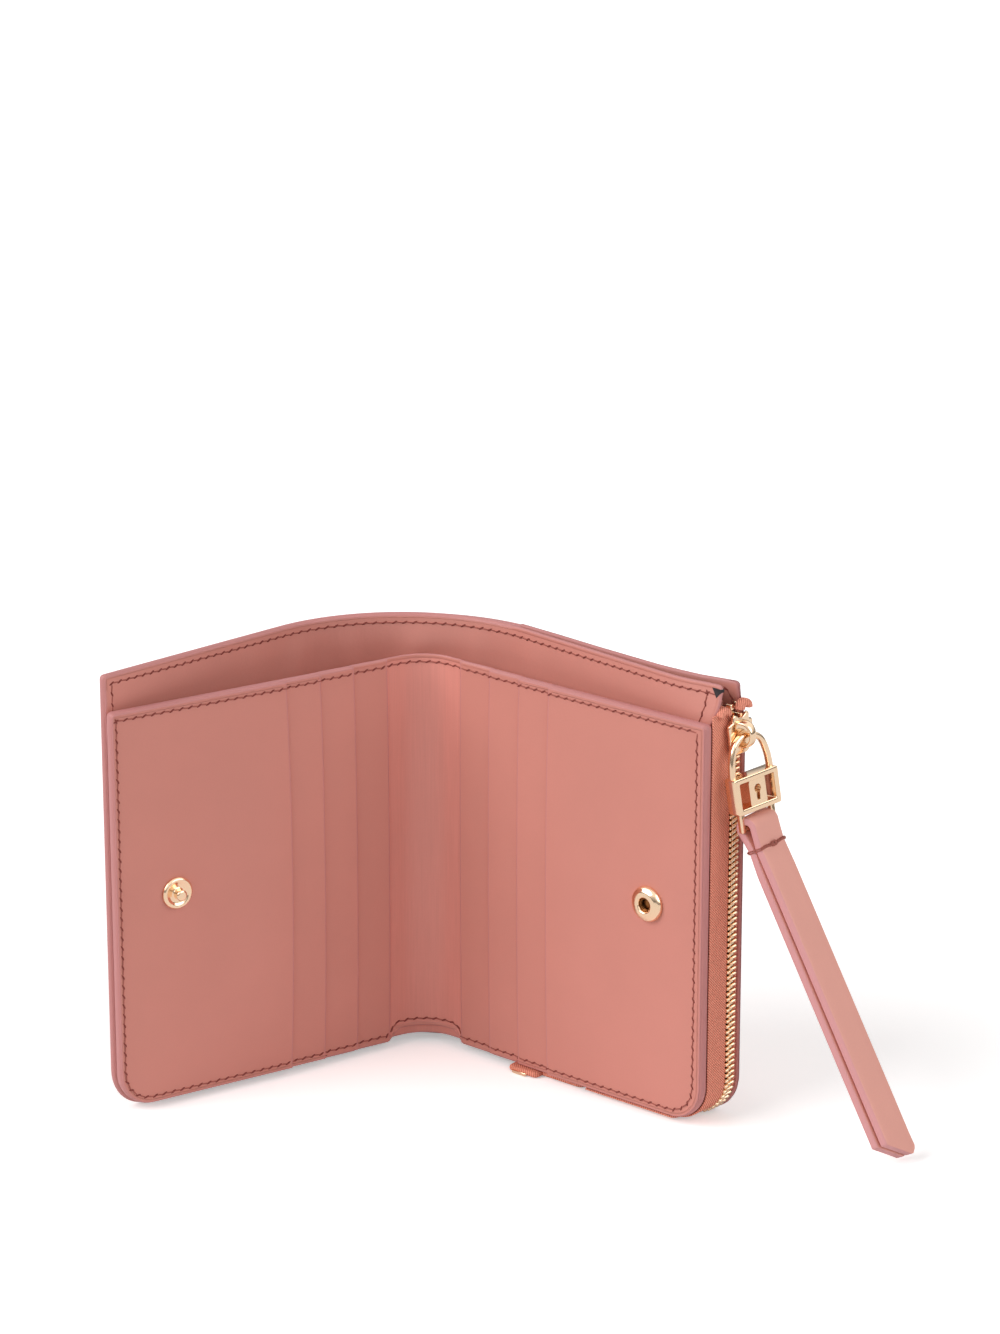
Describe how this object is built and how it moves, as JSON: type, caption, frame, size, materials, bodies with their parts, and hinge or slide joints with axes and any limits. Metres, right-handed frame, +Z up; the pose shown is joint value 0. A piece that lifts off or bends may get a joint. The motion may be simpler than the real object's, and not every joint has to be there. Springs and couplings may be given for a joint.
{
  "type": "wristlet wallet",
  "caption": "Compact bifold leather wallet standing open, with stepped card pockets, a snap, a zipped coin pocket and a padlock pull with a folded strap.",
  "frame": {"origin": "on the floor under the middle of the wallet's footprint, as it stands open", "axes": "+X to the side with the zip and the strap, -Y the way the open wallet faces, +Z up"},
  "size_m": [0.1754, 0.085, 0.103],
  "materials": {
    "leather": "smooth fine-grained dusty pink, satin",
    "cover_leather": "smooth dusty pink, slightly darker, satin",
    "strap_leather": "smooth light dusty pink, painted edges",
    "zip_tape": "woven twill tape, orange brown",
    "pocket_cloth": "plain woven lining, charcoal",
    "thread": "waxed sewing thread, dark red brown",
    "gold_metal": "polished light gold plate"
  },
  "bodies": {
    "right_half": {"spine_cover": "cover_leather", "spine_lining": "leather", "front_wall_spine": "leather", "coin_pocket_inner_wall": "leather", "right_front_wall": "leather", "right_card_pocket_1": "leather", "right_card_pocket_2": "leather", "right_card_pocket_3": "leather", "right_card_pocket_4": "leather", "snap_socket": "gold_metal", "snap_socket_spring": "gold_metal", "coin_pocket_inner_cloth": "pocket_cloth", "coin_pocket_top_gusset": "leather", "zip_tape_inner": "zip_tape", "zip_teeth_inner": "gold_metal", "zip_top_stop_inner": "gold_metal", "zip_tape_fold_inner": "zip_tape", "zip_bottom_stop": "gold_metal", "zip_end_tab": "zip_tape"},
    "left_half": {"left_cover": "cover_leather", "left_lining": "leather", "left_front_wall": "leather", "left_card_pocket_1": "leather", "left_card_pocket_2": "leather", "left_card_pocket_3": "leather", "left_card_pocket_4": "leather", "snap_stud": "gold_metal"},
    "coin_pocket_wall": {"coin_pocket_outer_wall": "cover_leather", "coin_pocket_outer_cloth": "pocket_cloth", "zip_tape_outer": "zip_tape", "zip_teeth_outer": "gold_metal", "zip_top_stop_outer": "gold_metal", "zip_tape_fold_outer": "zip_tape"},
    "zip_slider": {"zip_slider_body": "gold_metal"},
    "pull": {"padlock_shackle": "gold_metal", "padlock_body": "gold_metal", "padlock_strap_loop": "gold_metal"},
    "strap": {"strap": "strap_leather", "strap_tack_seam": "thread"}
  },
  "joints": [
    {"name": "fold", "type": "hinge", "parent": "right_half", "child": "left_half", "pos_m": [-0.01726, 0.03172, 0], "axis": [0, 0, 1], "range_deg": [-73.5, 106.5], "deforming": ["spine_cover", "spine_lining", "front_wall_spine"]},
    {"name": "zip_slide", "type": "slide", "parent": "right_half", "child": "zip_slider", "axis": [0, 0, 1], "range_m": [-0.075, 0]},
    {"name": "coin_pocket_open", "type": "hinge", "parent": "right_half", "child": "coin_pocket_wall", "pos_m": [0.00457, 0.03166, 0], "axis": [0, 0, 1], "range_deg": [0, 10.01], "deforming": ["zip_tape_outer", "zip_teeth_outer", "coin_pocket_top_gusset"]},
    {"name": "pull_swing", "type": "hinge", "parent": "zip_slider", "child": "pull", "pos_m": [0.05331, -0.01298, 0.0915], "axis": [-0.6482, -0.7615, 0], "range_deg": [-4, 90]},
    {"name": "strap_swing", "type": "hinge", "parent": "pull", "child": "strap", "pos_m": [0.05548, -0.01483, 0.0712], "axis": [-0.6482, -0.7615, 0], "range_deg": [-20, 60]}
  ],
  "couplings": [
    {"joint": "coin_pocket_open", "follows": "zip_slide", "rad_per_m": -2.3271}
  ]
}
